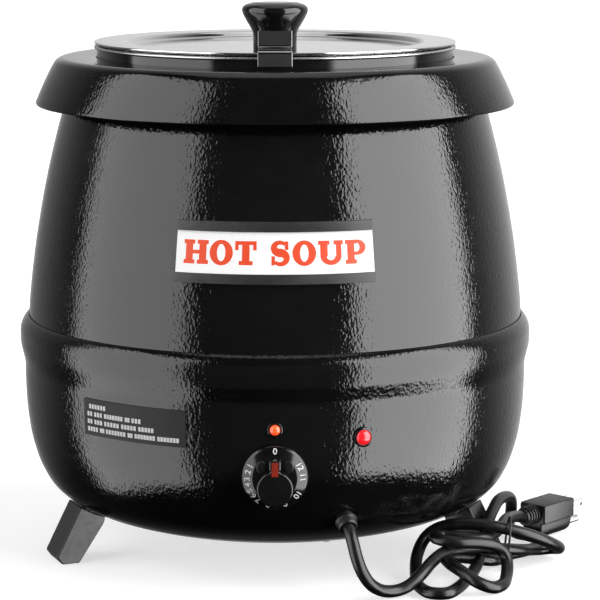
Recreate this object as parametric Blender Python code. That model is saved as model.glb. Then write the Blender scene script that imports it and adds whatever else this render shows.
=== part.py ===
"""Soup kettle: a black steel shell on three legs, a dry well with a heater, and a lift-out pot with a hinged lid.

Metres, +Z up, the front faces -Y. The kettle is turned about a vertical axis at Y = AXIS_Y, which puts
the origin at the middle of the kettle's footprint, dial included. Profiles are (radius, height) in mm.
"""

import math

import bmesh
import bpy
from mathutils import Vector

MM = 0.001
TURN = math.tau

# Driving dimensions, in mm
AXIS_Y = 6.75  # the vertical axis, behind the origin
GAP = 0.3  # between touching solids
SHEET = 1.2  # drawn steel
BEAD_R = 172.5
COLLAR_TOP = 332.3
WELL_R = 119.0
WELL_TOP = 337.9
POT_R = 115.8
RIM_R = 120.8
LID_TOP = 342.6
LID_FLOOR = 338.8
KNOB_Y = -80.0
STRAP_HALF = 10.8
HINGE_Y, HINGE_Z = 127.5, 344.5
DIAL_Z = 83.7
DIAL_FRONT = 186.0
ORANGE_Z, RED_Z = 113.6, 107.0
ORANGE_R, RED_R = 3.3, 4.8
LAMP_BACK = 150.0
SHELL_FACE = 169.9  # the bowl's radius where the dial and the lamps sit
RED_ANGLE = math.radians(18.9)
LEG_ANGLES = {"left": math.radians(-68), "right": math.radians(68), "rear": math.pi}
LEG_HALF = 12.8
LEG_SCREW_R = 136.0
BASE_SCREW_R = 89.0
EXIT_ANGLE = math.radians(16.3)
EXIT_R, EXIT_Z = 157.6, 52.0
EXIT_TILT = math.radians(30.5)  # the bowl's normal points this far down there
CORD_R = 4.0
PLUG_AT = Vector((170.5, -7.5, 0.5))
PLUG_TURN = math.radians(48)

for old in list(bpy.data.objects):
    bpy.data.objects.remove(old, do_unlink=True)

axis = bpy.data.objects.new("kettle_axis", None)
axis.location = (0, AXIS_Y * MM, 0)
bpy.context.collection.objects.link(axis)


def material(name, color, roughness, metallic=0.0):
    made = bpy.data.materials.new(name)
    made.use_nodes = True
    shader = made.node_tree.nodes["Principled BSDF"]
    shader.inputs["Base Color"].default_value = (*color, 1)
    shader.inputs["Roughness"].default_value = roughness
    shader.inputs["Metallic"].default_value = metallic
    return made


HAMMER = material("black_hammertone", (0.012, 0.012, 0.013), 0.3)
GLOSS = material("black_gloss", (0.01, 0.01, 0.011), 0.15)
STEEL = material("polished_steel", (0.72, 0.72, 0.73), 0.12, 1.0)
SATIN = material("satin_steel", (0.6, 0.6, 0.61), 0.35, 1.0)
ZINC = material("zinc_plate", (0.55, 0.56, 0.58), 0.4, 1.0)
BRASS = material("brass", (0.72, 0.52, 0.22), 0.3, 1.0)
RUBBER = material("black_pvc", (0.015, 0.015, 0.016), 0.4)
ORANGE = material("orange_lens", (0.9, 0.16, 0.03), 0.2)
RED = material("red_lens", (0.8, 0.02, 0.05), 0.2)
CARD = material("white_card", (0.85, 0.85, 0.85), 0.5)
GREY = material("grey_print", (0.03, 0.03, 0.033), 0.45)
NYLON = material("white_nylon", (0.8, 0.8, 0.76), 0.5)


def finish(name, bm, mat, parent=axis, at=(0, 0, 0), turn=None, smooth=40):
    """The mesh, made in mm, as one named object with outward faces, parented to an empty."""
    bmesh.ops.recalc_face_normals(bm, faces=bm.faces)
    bmesh.ops.scale(bm, vec=(MM, MM, MM), verts=bm.verts)
    mesh = bpy.data.meshes.new(name)
    bm.to_mesh(mesh)
    bm.free()
    mesh.materials.append(mat)
    mesh.shade_smooth()
    mesh.set_sharp_from_angle(angle=math.radians(smooth))
    made = bpy.data.objects.new(name, mesh)
    made.parent = parent
    made.location = Vector(at) * MM
    if turn is not None:
        made.rotation_euler = turn
    bpy.context.collection.objects.link(made)
    return made


def lathe(profile, segments=48, start=0.0, sweep=TURN):
    """A closed (radius, height) outline turned about Z; points at radius 0 become poles."""
    bm = bmesh.new()
    whole = sweep >= TURN - 1e-6
    if whole:  # a flat, not an edge, faces the front
        start = TURN / segments / 2
    steps = segments if whole else segments + 1
    rings = []
    for r, z in profile:
        if r == 0:
            rings.append([bm.verts.new((0, 0, z))] * steps)
            continue
        angles = [start + sweep * i / segments for i in range(steps)]
        rings.append([bm.verts.new((r * math.sin(a), -r * math.cos(a), z)) for a in angles])
    for j, ring in enumerate(rings):
        other = rings[(j + 1) % len(rings)]
        for i in range(segments):
            k = (i + 1) % steps
            corners = [ring[i], ring[k], other[k], other[i]]
            corners = [v for n, v in enumerate(corners) if v not in corners[:n]]
            if len(corners) > 2:
                bm.faces.new(corners)
    if not whole:
        bm.faces.new([ring[0] for ring in rings])
        bm.faces.new([ring[-1] for ring in reversed(rings)])
    return bm


def offset(profile, by):
    """The line `by` to the left of an open profile, mitred at its corners."""
    points = [Vector(p) for p in profile]
    sides = []
    for a, b in zip(points, points[1:]):
        along = (b - a).normalized()
        sides.append(Vector((-along.y, along.x)))
    made = []
    for i, p in enumerate(points):
        before, after = sides[max(i - 1, 0)], sides[min(i, len(sides) - 1)]
        mitre = (before + after).normalized()
        made.append(tuple(p + mitre * by / max(0.5, mitre.dot(after))))
    return made


def sheet(profile, thickness=SHEET):
    """A closed outline of a sheet whose outer side is this open profile, walked with its inside on the left."""
    return list(profile) + list(reversed(offset(profile, thickness)))


def bar(outline, low, high, axes="xyz"):
    """An outline extruded from low to high along the third of the axes."""
    bm = bmesh.new()
    order = ["xyz".index(c) for c in axes]

    def place(u, v, w):
        co = [0, 0, 0]
        for slot, value in zip(order, (u, v, w)):
            co[slot] = value
        return co

    ends = [[bm.verts.new(place(u, v, w)) for u, v in outline] for w in (low, high)]
    bm.faces.new(ends[0])
    bm.faces.new(list(reversed(ends[1])))
    for i in range(len(outline)):
        k = (i + 1) % len(outline)
        bm.faces.new([ends[0][i], ends[1][i], ends[1][k], ends[0][k]])
    return bm


def box(x0, x1, y0, y1, z0, z1):
    return bar([(x0, y0), (x1, y0), (x1, y1), (x0, y1)], z0, z1)


def arc(cx, cy, r, start, end, steps):
    """Points of an arc, angles in degrees."""
    angles = [math.radians(start + (end - start) * i / steps) for i in range(steps + 1)]
    return [(cx + r * math.cos(a), cy + r * math.sin(a)) for a in angles]


def rod(r, low, high, segments=16):
    return lathe([(0, low), (r, low), (r, high), (0, high)], segments)


def boolean(target, tool, operation="DIFFERENCE"):
    """The tool stays as a hidden cutter, with its modifier on the target."""
    tool.hide_render = True
    tool.display_type = "WIRE"
    modifier = target.modifiers.new(tool.name, "BOOLEAN")
    modifier.operation = operation
    modifier.object = tool
    modifier.solver = "EXACT"


def drill(targets, name, r, low, high, at=(0, 0, 0), turn=None, parent=axis, segments=16):
    cutter = finish(f"cut_{name}", rod(r, low, high, segments), ZINC, parent, at, turn)
    for target in targets:
        boolean(target, cutter)


def screw(name, mat, head_r, head_h, shank_r, length, at, turn=None, parent=axis):
    """A cheese-head screw, its head on +Z over the point `at`, with a driver slot."""
    profile = [
        (0, -length), (shank_r - 0.4, -length), (shank_r, 0.6 - length), (shank_r, 0), (head_r, 0),
        (head_r, head_h - 0.5), (head_r - 0.5, head_h), (0, head_h),
    ]
    made = finish(name, lathe(profile, 12), mat, parent, at, turn)
    slot = finish(
        f"cut_{name}", box(-head_r - 1, head_r + 1, -0.5, 0.5, head_h - 1, head_h + 1), mat, parent, at, turn
    )
    boolean(made, slot)
    return made


FACING_FRONT = (math.pi / 2, 0, 0)  # turns +Z to -Y


# ---- shell ---------------------------------------------------------------------------------------------

BOWL = [
    (84, 23.4), (96.4, 23.4), (96.8, 22.2), (116.2, 27), (133.7, 33), (146, 40), (154.2, 48), (161, 61),
    (166.1, 78), (168.9, 99), (169.6, 120), (169.5, 131.5), (171.2, 137.5), (BEAD_R, 145), (BEAD_R, 153.5),
    (170.9, 159), (166.95, 160.4),
]
lower_bowl = finish("lower_bowl", lathe(sheet(BOWL)), HAMMER)

BODY = [
    (166.2, 137), (166.6, 163.6), (164.4, 185.4), (160.8, 212.5), (155, 245), (149.6, 269), (143.4, 293),
    (137, 313), (130.5, 325), (126, 326.4), (120.4, 326.4),
]
finish("upper_body", lathe(sheet(BODY)), HAMMER)

COLLAR = [
    (119.6, 328.2), (122.5, 328.2), (122.5, 329.6), (142, 329.6), (147.4, 323.8), (152.6, 313.4),
    (158.2, 301.5), (159.6, 301.2), (160, 302.4), (155, 314.4), (149.7, 325), (146.6, 330.3),
    (144.8, 331.8), (142.5, COLLAR_TOP), (119.6, COLLAR_TOP),
]
finish("collar", lathe(COLLAR), GLOSS)

base_plate = finish("base_plate", lathe([(0, 21.9), (94, 21.9), (94, 23.1), (0, 23.1)], 36), ZINC)

LEG_SIDE = [
    (145.4, 0), (157.3, 0), (160.9, 5), (144, 37.8), (133.7, 32.5), (126.9, 30.1), (127.7, 26),
]
for place, angle in LEG_ANGLES.items():
    turned = bpy.data.objects.new(f"leg_{place}_axis", None)
    turned.parent = axis
    turned.rotation_euler = (0, 0, angle)
    bpy.context.collection.objects.link(turned)
    side = [(-r, z) for r, z in LEG_SIDE]
    leg = finish(f"leg_{place}", bar(side, -LEG_HALF, LEG_HALF, "yzx"), GLOSS, turned, smooth=25)
    bevel = leg.modifiers.new("edges", "BEVEL")
    bevel.width = 0.6 * MM
    bevel.segments = 1
    bevel.limit_method = "ANGLE"
    screw(f"leg_screw_{place}", ZINC, 4.5, 3, 2.5, 22, (0, -LEG_SCREW_R, 38.8), None, turned)
    drill([leg, lower_bowl], f"leg_{place}", 2.8, 15, 45, (0, -LEG_SCREW_R, 0), None, turned)

for number in range(3):
    angle = TURN * number / 3 + math.radians(22)
    at = (BASE_SCREW_R * math.sin(angle), -BASE_SCREW_R * math.cos(angle), 21.6)
    screw(f"base_screw_{number + 1}", ZINC, 3.5, 1.8, 1.8, 8, at, (math.pi, 0, 0))
    drill([base_plate, lower_bowl], f"base_{number + 1}", 2.1, -4, 6, at)


# ---- well and heater -----------------------------------------------------------------------------------

WELL = [
    (0, 83.2), (104, 83.2), (113.4, 87.4), (117.8, 97), (117.8, WELL_TOP), (WELL_R, WELL_TOP), (WELL_R, 328),
    (129, 328), (129, 326.7), (WELL_R, 326.7), (WELL_R, 96.7), (114.3, 86.5), (104.3, 82), (3, 82), (3, 60), (0, 60),
]
finish("well", lathe(WELL), SATIN)

HEATER_R, HEATER_TUBE, HEATER_Z = 70.0, 4.0, 77.7


def tube(name, points, radius, mat, sides=2):
    """A round tube with filled ends through points given in mm, in world space."""
    curve = bpy.data.curves.new(name, "CURVE")
    curve.dimensions = "3D"
    curve.bevel_depth = radius * MM
    curve.bevel_resolution = sides
    curve.use_fill_caps = True
    spline = curve.splines.new("POLY")
    spline.points.add(len(points) - 1)
    for point, co in zip(spline.points, points):
        point.co = (*(Vector(co) * MM), 1)
    curve.materials.append(mat)
    made = bpy.data.objects.new(name, curve)
    bpy.context.collection.objects.link(made)
    return made


ring = []
for step in range(25):
    angle = math.radians(12 + 336 * step / 24)
    ring.append((HEATER_R * math.sin(angle), AXIS_Y + HEATER_R * math.cos(angle), HEATER_Z))
tube("heater_ring", ring, HEATER_TUBE, SATIN, 1)

finish("heater_clamp", lathe([(3.3, 71.8), (86, 71.8), (86, 73.3), (3.3, 73.3)], 32), ZINC)
hexagon = [(6 * math.cos(TURN * i / 6), 6 * math.sin(TURN * i / 6)) for i in range(6)]
clamp_nut = finish("clamp_nut", bar(hexagon, 66.5, 71.5), ZINC, smooth=20)
drill([clamp_nut], "nut", 3.3, 60, 80)
CUTOUT = [(0, 73.7), (9, 73.7), (9, 79), (7.5, 81.6), (0, 81.6)]
finish("thermal_cutout", lathe(CUTOUT, 20), SATIN, at=(-30, -22, 0))
finish("sensing_bulb", rod(3, -30, 30, 12), BRASS, at=(0, 30, 78.6), turn=(0, math.pi / 2, 0))


# ---- controls ------------------------------------------------------------------------------------------

thermostat = finish("thermostat_body", box(-17, 17, -159, -136, 69, 99), NYLON)
bushing = finish("cut_bushing", rod(4.8, 158, 173, 20), ZINC, at=(0, 0, DIAL_Z), turn=FACING_FRONT)
boolean(thermostat, bushing, "UNION")
drill([thermostat], "shaft", 3.2, 140, 175, (0, 0, DIAL_Z), FACING_FRONT)
drill([lower_bowl], "thermostat", 5.2, 155, 175, (0, 0, DIAL_Z), FACING_FRONT, segments=20)

hexagon = [(8 * math.cos(TURN * i / 6), 8 * math.sin(TURN * i / 6)) for i in range(6)]
nut = finish("thermostat_nut", bar(hexagon, 168.6, 171), ZINC, at=(0, 0, DIAL_Z), turn=FACING_FRONT, smooth=20)
drill([nut], "thermostat_nut", 5.1, 160, 175, (0, 0, DIAL_Z), FACING_FRONT, segments=20)

dial_axis = bpy.data.objects.new("dial_axis", None)
dial_axis.parent = axis
dial_axis.location = (0, 0, DIAL_Z * MM)
dial_axis.rotation_euler = FACING_FRONT
bpy.context.collection.objects.link(dial_axis)

SKIRT = [
    (0, 173.2), (16.5, 173.2), (16.5, SHELL_FACE), (20.4, SHELL_FACE), (20.6, 170.3), (20.6, 171.3),
    (19.6, 172.6), (13.4, 175.6), (0, 176.2),
]
dial = finish("dial", lathe(SKIRT, 36), GLOSS, dial_axis, smooth=30)
GRIP_R, GRIP_DROP, TONGUE = 11.2, 4.5, 3.6
grip_outline = arc(0, -GRIP_DROP, GRIP_R, -250, 70, 24)
grip_outline += [(TONGUE, 8.4), (TONGUE, 13.6), (-TONGUE, 13.6), (-TONGUE, 8.4)]
grip = finish("cut_grip", bar(grip_outline, 174.5, DIAL_FRONT), GLOSS, dial_axis)
boolean(dial, grip, "UNION")
slot = finish("cut_pointer", box(-2.4, 2.4, 3.6, 13.1, 184.4, 190), GLOSS, dial_axis)
boolean(dial, slot)
drill([dial], "dial", 3.2, 160, 181, parent=dial_axis)
finish("dial_pointer", box(-2.1, 2.1, 3.9, 12.8, 184.7, DIAL_FRONT), RED, dial_axis)
finish("thermostat_shaft", rod(2.9, 141, 180.5), SATIN, dial_axis)


def lamp(name, lens_r, angle, z, face, lens_mat, body_mat):
    """A pilot lamp: a domed lens held in a body whose flange, if any, sits on the shell."""
    around = bpy.data.objects.new(f"{name}_axis", None)
    around.parent = axis
    around.location = (0, 0, z * MM)
    around.rotation_euler = (math.pi / 2, 0, angle)
    bpy.context.collection.objects.link(around)
    tail = LAMP_BACK + 2
    dome = [(0, tail), (lens_r, tail), (lens_r, face + 0.6), (lens_r * 0.86, face + 1.9), (lens_r * 0.5, face + 2.9)]
    finish(f"{name}_lens", lathe([*dome, (0, face + 3.2)], 20), lens_mat, around)
    inner, outer, lip = lens_r + GAP, lens_r + 0.9, lens_r + 1.5
    body = [
        (inner, LAMP_BACK), (outer, LAMP_BACK), (outer, face + 0.2), (lip, face + 0.2), (lip, face + 0.8),
        (inner, face + 1.1),
    ]
    finish(f"{name}_body", lathe(body, 20), body_mat, around)
    drill([lower_bowl], name, outer + GAP, 155, 175, parent=around, segments=20)


lamp("pilot_orange", ORANGE_R, 0, ORANGE_Z, SHELL_FACE, ORANGE, GLOSS)
lamp("pilot_red", RED_R, RED_ANGLE, RED_Z, SHELL_FACE, RED, GLOSS)


# ---- label and decal -----------------------------------------------------------------------------------


def on_body(z, out):
    """The upper body's radius at a height in the label's band, moved out by this much."""
    return 162.1 - (z - 204) * 0.171 + out


LABEL_HALF = math.radians(22.3)
LOW, HIGH, RAIL, LIP = 203.6, 241.6, 4.4, 6.2
holder_outline = [
    (on_body(LOW, 0.4), LOW), (on_body(LOW, 2.8), LOW), (on_body(LOW + LIP, 2.8), LOW + LIP),
    (on_body(LOW + LIP, 2.0), LOW + LIP), (on_body(LOW + RAIL, 2.0), LOW + RAIL), (on_body(LOW + RAIL, 1.0), LOW + RAIL),
    (on_body(HIGH - RAIL, 1.0), HIGH - RAIL), (on_body(HIGH - RAIL, 2.0), HIGH - RAIL),
    (on_body(HIGH - LIP, 2.0), HIGH - LIP), (on_body(HIGH - LIP, 2.8), HIGH - LIP),
    (on_body(HIGH, 2.8), HIGH), (on_body(HIGH, 0.4), HIGH),
]
finish("label_holder", lathe(holder_outline, 20, -LABEL_HALF, 2 * LABEL_HALF), GREY)
card_low, card_high = LOW + RAIL + GAP, HIGH - RAIL - GAP
card_outline = [
    (on_body(card_low, 1.3), card_low), (on_body(card_low, 1.7), card_low),
    (on_body(card_high, 1.7), card_high), (on_body(card_high, 1.3), card_high),
]
finish("label_card", lathe(card_outline, 20, -LABEL_HALF, 2 * LABEL_HALF), CARD)

DECAL_START, DECAL_SWEEP = math.radians(-45.6), math.radians(26.5)
decal_outline = [(169.25, 100), (169.65, 100), (170.2, 112), (170.3, 123.6), (169.9, 123.6), (169.8, 112)]
finish("decal", lathe(decal_outline, 12, DECAL_START, DECAL_SWEEP), GREY)


# ---- pot and lid ---------------------------------------------------------------------------------------

POT = [
    (0, 96.6), (100, 96.6), (110.2, 100.9), (114.6, 111), (114.6, 338.8), (115.4, 339.6), (119, 339.6),
    (120, 340.1), (121, 338.9), (120.4, 337.8), (119.4, 338.2), (POT_R, 338.2), (POT_R, 110.7),
    (111.1, 100), (100.3, 95.4), (0, 95.4),
]
finish("pot", lathe(POT), SATIN)

LID = [
    (0, LID_FLOOR - 1.3), (95.8, LID_FLOOR - 1.3), (99.6, LID_TOP - 1.3), (115.4, LID_TOP - 1.3),
    (116, 340.4), (118, 340.4), (118.6, LID_TOP - 1.3), (RIM_R - 0.3, LID_TOP - 1.3), (RIM_R, 341.8),
    (RIM_R - 0.3, LID_TOP), (100.5, LID_TOP), (98.6, 341.2), (97, 339.2), (95.6, LID_FLOOR), (0, LID_FLOOR),
]
lid = finish("lid", lathe(LID), STEEL)

STRAP = [
    (-121.8, 334), (-121.8, 341.6), (-121.2, 342.7), (-120, 342.9), (-99, 342.9), (-97, 343.6), (-95.9, 345),
    (-95.5, 347), (-95.5, 355),
]
finish("lid_strap", bar(sheet(STRAP), -STRAP_HALF, STRAP_HALF, "yzx"), STEEL, smooth=35)

KNOB = [
    (0, LID_FLOOR + GAP), (13.9, LID_FLOOR + GAP), (13.9, 351.5), (14.6, 354.2), (16.3, 357.2), (18.6, 361),
    (20.6, 365), (21.2, 367.3), (20.6, 369.2), (18.6, 370.7), (15.4, 371.7), (14.6, 371.4), (14.6, 370), (0, 370),
]
knob = finish("knob", lathe(KNOB, 32), GLOSS, at=(0, KNOB_Y, 0))
CAP = [(0, 370.3), (14.2, 370.3), (14.2, 371.3), (12.6, 372), (0, 372.2)]
finish("knob_cap", lathe(CAP, 32), GLOSS, at=(0, KNOB_Y, 0))
screw("knob_screw", ZINC, 4.2, 2.6, 2.2, 19, (0, KNOB_Y, LID_FLOOR - 1.6), (math.pi, 0, 0))
drill([lid, knob], "knob", 2.5, 330, 358, (0, KNOB_Y, 0))

EAR_IN, EAR_OUT, PIN_R = 10.6, 13.2, 2.0
bracket = finish("hinge_bracket", box(-EAR_OUT, EAR_OUT, 121.4, 124, 334.4, 340.4), SATIN, smooth=20)
ear = [(121.4, 334.4), (129, 334.4)] + arc(HINGE_Y, HINGE_Z, 4.6, -20, 200, 10) + [(121.4, 340)]
for side, (low, high) in {"left": (-EAR_OUT, -EAR_IN), "right": (EAR_IN, EAR_OUT)}.items():
    boolean(bracket, finish(f"cut_ear_{side}", bar(ear, low, high, "yzx"), SATIN), "UNION")
drill([bracket], "hinge_bracket", PIN_R + GAP, -20, 20, (0, HINGE_Y, HINGE_Z), (0, math.pi / 2, 0))
leaf = finish("hinge_leaf", box(-10.2, 10.2, 103, HINGE_Y, 342.9, 344.1), STEEL, smooth=20)
barrel = finish("cut_barrel", rod(3.6, -10.2, 10.2, 20), STEEL, at=(0, HINGE_Y, HINGE_Z), turn=(0, math.pi / 2, 0))
boolean(leaf, barrel, "UNION")
drill([leaf], "hinge_leaf", PIN_R + GAP, -20, 20, (0, HINGE_Y, HINGE_Z), (0, math.pi / 2, 0))
pin = [(0, -14.4), (PIN_R, -14.4), (PIN_R, 13.5), (3.4, 13.5), (3, 14.8), (0, 14.8)]
finish("hinge_pin", lathe(pin, 16), SATIN, at=(0, HINGE_Y, HINGE_Z), turn=(0, math.pi / 2, 0))


# ---- supply --------------------------------------------------------------------------------------------

TERMINALS_X, TERMINALS_Y, TERMINAL_STEP = 38, -40, 10
terminal_block = finish(
    "terminal_block", box(-16, 16, -9, 9, 23.4, 38), NYLON, at=(TERMINALS_X, TERMINALS_Y, 0)
)
for number in range(3):
    hole_at = (TERMINALS_X + TERMINAL_STEP * (number - 1), TERMINALS_Y, 0)
    drill([terminal_block], f"terminal_{number + 1}", 2.6, 30, 45, hole_at, segments=12)
EARTH_X, EARTH_Y = 8, -58
screw("earth_screw", BRASS, 4, 2.4, 2, 6, (EARTH_X, EARTH_Y, 23.5))
drill([base_plate], "earth", 2.3, 20, 26, (EARTH_X, EARTH_Y, 0))

exit_frame = bpy.data.objects.new("cord_exit", None)
exit_frame.parent = axis
exit_frame.location = Vector((EXIT_R * math.sin(EXIT_ANGLE), -EXIT_R * math.cos(EXIT_ANGLE), EXIT_Z)) * MM
exit_frame.rotation_euler = (math.pi / 2 + EXIT_TILT, 0, EXIT_ANGLE)
bpy.context.collection.objects.link(exit_frame)
BUSHING = [
    (CORD_R + GAP, -14), (5.2, -14), (5.6, -2.4), (5.6, 0.9), (6.8, 0.9), (6.8, 2.6), (5.9, 3.4), (5.3, 7), (4.6, 7.2),
]
finish("cord_bushing", lathe(BUSHING, 24), GLOSS, exit_frame)
drill([lower_bowl], "cord_exit", 5.9, -8, 6, parent=exit_frame, segments=24)


def smooth_path(points, spacing):
    """Points about this far apart along a Catmull-Rom curve through the given ones."""
    ends = [2 * points[0] - points[1], *points, 2 * points[-1] - points[-2]]
    made = [points[0]]
    for a, b, c, d in zip(ends, ends[1:], ends[2:], ends[3:]):
        steps = max(1, round((c - b).length / spacing))
        for i in range(1, steps + 1):
            t = i / steps
            made.append(
                0.5 * (2 * b + (c - a) * t + (2 * a - 5 * b + 4 * c - d) * t * t + (3 * b - a - 3 * c + d) * t**3)
            )
    return made


# The free stretch, from inside the bushing to the bundle, resting on the table at height CORD_R
FREE_RUN = [
    (41.1, -133.7, 58.6), (43.2, -141.1, 54.1), (45.1, -147.6, 50), (46.8, -153.1, 46.2), (48.8, -157.6, 40),
    (51, -159.6, 31.5), (54.4, -159, 22), (60, -155, 12.8), (67.6, -148, 6.6), (76.5, -139.6, 4.4), (84.6, -130.6, 4.3),
]
tube("cord_free", smooth_path([Vector(p) for p in FREE_RUN], 9), CORD_R, RUBBER)

# The bundle's outer shape: turns laid in front of the right leg and past it
BUNDLE = [
    (87.5, -129), (92, -146), (105, -156), (126, -150), (150, -136), (158, -112), (164, -88), (194, -66),
    (199, -50), (190, -38), (170, -46), (152, -68.5), (122, -68.5), (99, -84), (88, -105),
]
BUNDLE_TOP = 31.0
outline = [Vector((x, y, 0)) for x, y in BUNDLE]
closed = smooth_path([*outline, outline[0]], 12)[:-1]
finish("cord_bundle", bar([(p.x, p.y) for p in closed], 0.4, BUNDLE_TOP), RUBBER, None)

# The lead from the bundle to the plug, and one slack loop beside it
LEAD = [(152, -62, 35.5), (154.5, -49, 33), (158, -36, 28.5), (162, -24, 23), (166.7, -13.8, 18.6)]
tube("cord_lead", smooth_path([Vector(p) for p in LEAD], 9), CORD_R, RUBBER)
LOOP = [
    (139, -77, 35.5), (144, -56, 36), (148, -38, 36), (152, -24, 35.5), (157, -11, 33.5), (161, -1, 30),
    (162.8, 7, 23.5), (163, 12, 15), (161.5, 8, 8.5), (165.5, 0, 5.2), (173, -6.5, 4.6), (180, -15, 4.4),
    (181.5, -26, 4.4), (177, -34.5, 4.4),
]
tube("cord_loop", smooth_path([Vector(p) for p in LOOP], 9), CORD_R, RUBBER)

plug = bpy.data.objects.new("plug_frame", None)
plug.location = PLUG_AT * MM
plug.rotation_euler = (0, 0, PLUG_TURN)
bpy.context.collection.objects.link(plug)
PLUG_LONG, PLUG_HALF, PLUG_MID, PLUG_HIGH = 35.0, 10.8, 12.0, 25.0
PLUG_BACK, BELLY_R = 9.0, 8.4
AXLE = 17.8  # the lead's axis in the plug, which is the blades' mid-height too
section = [(PLUG_HALF, PLUG_MID), (PLUG_HALF, PLUG_HIGH), (-PLUG_HALF, PLUG_HIGH), (-PLUG_HALF, PLUG_MID)]
section += arc(0, BELLY_R, BELLY_R, 195, 345, 12)
plug_body = finish("plug_body", bar(section, PLUG_BACK, PLUG_BACK + PLUG_LONG, "yzx"), RUBBER, plug, smooth=30)
RELIEF = [(CORD_R + GAP, 0), (4.9, 0)]
for rib in range(3):
    RELIEF += [(6.2, 1.2 + 2.4 * rib), (6.2, 2.4 + 2.4 * rib), (5.2, 2.6 + 2.4 * rib)]
RELIEF += [(6.6, 10), (0, 10), (0, 5), (CORD_R + GAP, 5)]
relief = finish("cut_relief", lathe(RELIEF, 20), RUBBER, plug, (0, 0, AXLE), (0, math.pi / 2, 0))
boolean(plug_body, relief, "UNION")
bevel = plug_body.modifiers.new("edges", "BEVEL")
bevel.width = 0.8 * MM
bevel.segments = 1
bevel.limit_method = "ANGLE"
bevel.angle_limit = math.radians(50)
FACE = PLUG_BACK + PLUG_LONG + GAP
BLADE_HALF, BLADE_LONG, BLADE_HOLE = 3.15, 15.5, 12.5
for side, across in {"left": 6.35, "right": -6.35}.items():
    low, high = AXLE - BLADE_HALF, AXLE + BLADE_HALF
    blade = [(across - 0.75, low), (across + 0.75, low), (across + 0.75, high), (across - 0.75, high)]
    made = finish(f"plug_blade_{side}", bar(blade, FACE, FACE + BLADE_LONG, "yzx"), BRASS, plug, smooth=20)
    drill([made], f"blade_{side}", 1.6, -12, 12, (FACE + BLADE_HOLE, 0, AXLE), (math.pi / 2, 0, 0), plug, 10)
finish("earth_pin", rod(2.4, FACE, FACE + 17.5, 12), BRASS, plug, (0, 0, 5.4), (0, math.pi / 2, 0))
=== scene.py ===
"""Looks of a countertop soup kettle: black hammertone shell on three legs, lift-out pot, hinged polished lid.

Metres, +Z up, the front faces -Y. Everything round about the kettle is turned about the vertical axis at
Y = AXIS_Y. Sizes are written in millimetres and scaled as they go into a mesh.
"""

import math

import bmesh
import bpy
import numpy as np
from mathutils import Matrix, Vector


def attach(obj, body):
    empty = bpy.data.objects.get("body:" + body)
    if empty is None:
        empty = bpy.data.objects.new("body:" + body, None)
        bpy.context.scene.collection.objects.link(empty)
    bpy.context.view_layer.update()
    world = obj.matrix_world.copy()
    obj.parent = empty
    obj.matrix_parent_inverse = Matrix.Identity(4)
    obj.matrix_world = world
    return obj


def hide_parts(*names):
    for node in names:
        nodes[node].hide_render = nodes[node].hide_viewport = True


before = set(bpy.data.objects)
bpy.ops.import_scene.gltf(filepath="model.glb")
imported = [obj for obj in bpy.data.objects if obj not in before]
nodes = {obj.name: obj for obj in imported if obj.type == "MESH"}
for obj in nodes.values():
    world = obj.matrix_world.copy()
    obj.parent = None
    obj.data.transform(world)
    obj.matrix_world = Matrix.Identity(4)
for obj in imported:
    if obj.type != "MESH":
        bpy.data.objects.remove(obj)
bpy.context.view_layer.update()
scene = bpy.context.scene

# ---- studio ----------------------------------------------
# A pale floor in a room painted in the sky by bearing and height. Two tall softboxes, one on each side,
# give the black shell its upright bands of light, with a faint card in front and a small lamp overhead.

camera = bpy.data.objects.new("camera", bpy.data.cameras.new("camera"))
camera.location = (0, -1.70685, 0.45672)
camera.rotation_euler = (math.radians(90 - 9.618), 0, 0)
camera.data.lens = 153.3
camera.data.sensor_width = 36
camera.data.shift_x = 1 / 24
camera.data.clip_end = 50
scene.collection.objects.link(camera)
scene.camera = camera
scene.view_settings.view_transform = "Standard"


def wired(tree, pairs):
    """Links each (output, input) pair of sockets."""
    for source, target in pairs:
        tree.links.new(source, target)


def wired_math(tree, operation, a, b=0.0):
    """One arithmetic step; a and b are numbers or output sockets."""
    made = tree.nodes.new("ShaderNodeMath")
    made.operation = operation
    for slot, value in enumerate((a, b)):
        if isinstance(value, (int, float)):
            made.inputs[slot].default_value = value
        else:
            tree.links.new(value, made.inputs[slot])
    return made.outputs[0]


def times(tree, first, *others):
    """The product of numbers and output sockets."""
    for other in others:
        first = wired_math(tree, "MULTIPLY", first, other)
    return first


def step_between(tree, value, low, high, to_low=0.0, to_high=1.0):
    """A soft step of the value from to_low at low to to_high at high."""
    made = tree.nodes.new("ShaderNodeMapRange")
    made.interpolation_type = "SMOOTHSTEP"
    tree.links.new(value, made.inputs["Value"])
    for label, limit in (("From Min", low), ("From Max", high), ("To Min", to_low), ("To Max", to_high)):
        made.inputs[label].default_value = limit
    return made.outputs["Result"]


def softbox(tree, bearing, height, near, far, low, high, power):
    """The light of an upright box between two bearings from the front and two heights, all in degrees."""
    side_edge, end_edge = 1.5, 4.0
    return times(
        tree, power,
        step_between(tree, bearing, near, near + side_edge),
        step_between(tree, bearing, far, far - side_edge),
        step_between(tree, height, low, low + end_edge),
        step_between(tree, height, high, high - end_edge),
    )


sky = bpy.data.worlds.new("studio")
scene.world = sky
sky.use_nodes = True
tree = sky.node_tree
tree.nodes.clear()
split = tree.nodes.new("ShaderNodeSeparateXYZ")
tree.links.new(tree.nodes.new("ShaderNodeTexCoord").outputs["Generated"], split.inputs[0])
DEGREES = 180 / math.pi
towards = times(tree, split.outputs["Y"], -1.0)
bearing = times(tree, wired_math(tree, "ARCTAN2", split.outputs["X"], towards), DEGREES)
mirrored = times(tree, bearing, -1.0)
height = times(tree, wired_math(tree, "ARCSINE", split.outputs["Z"]), DEGREES)
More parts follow.
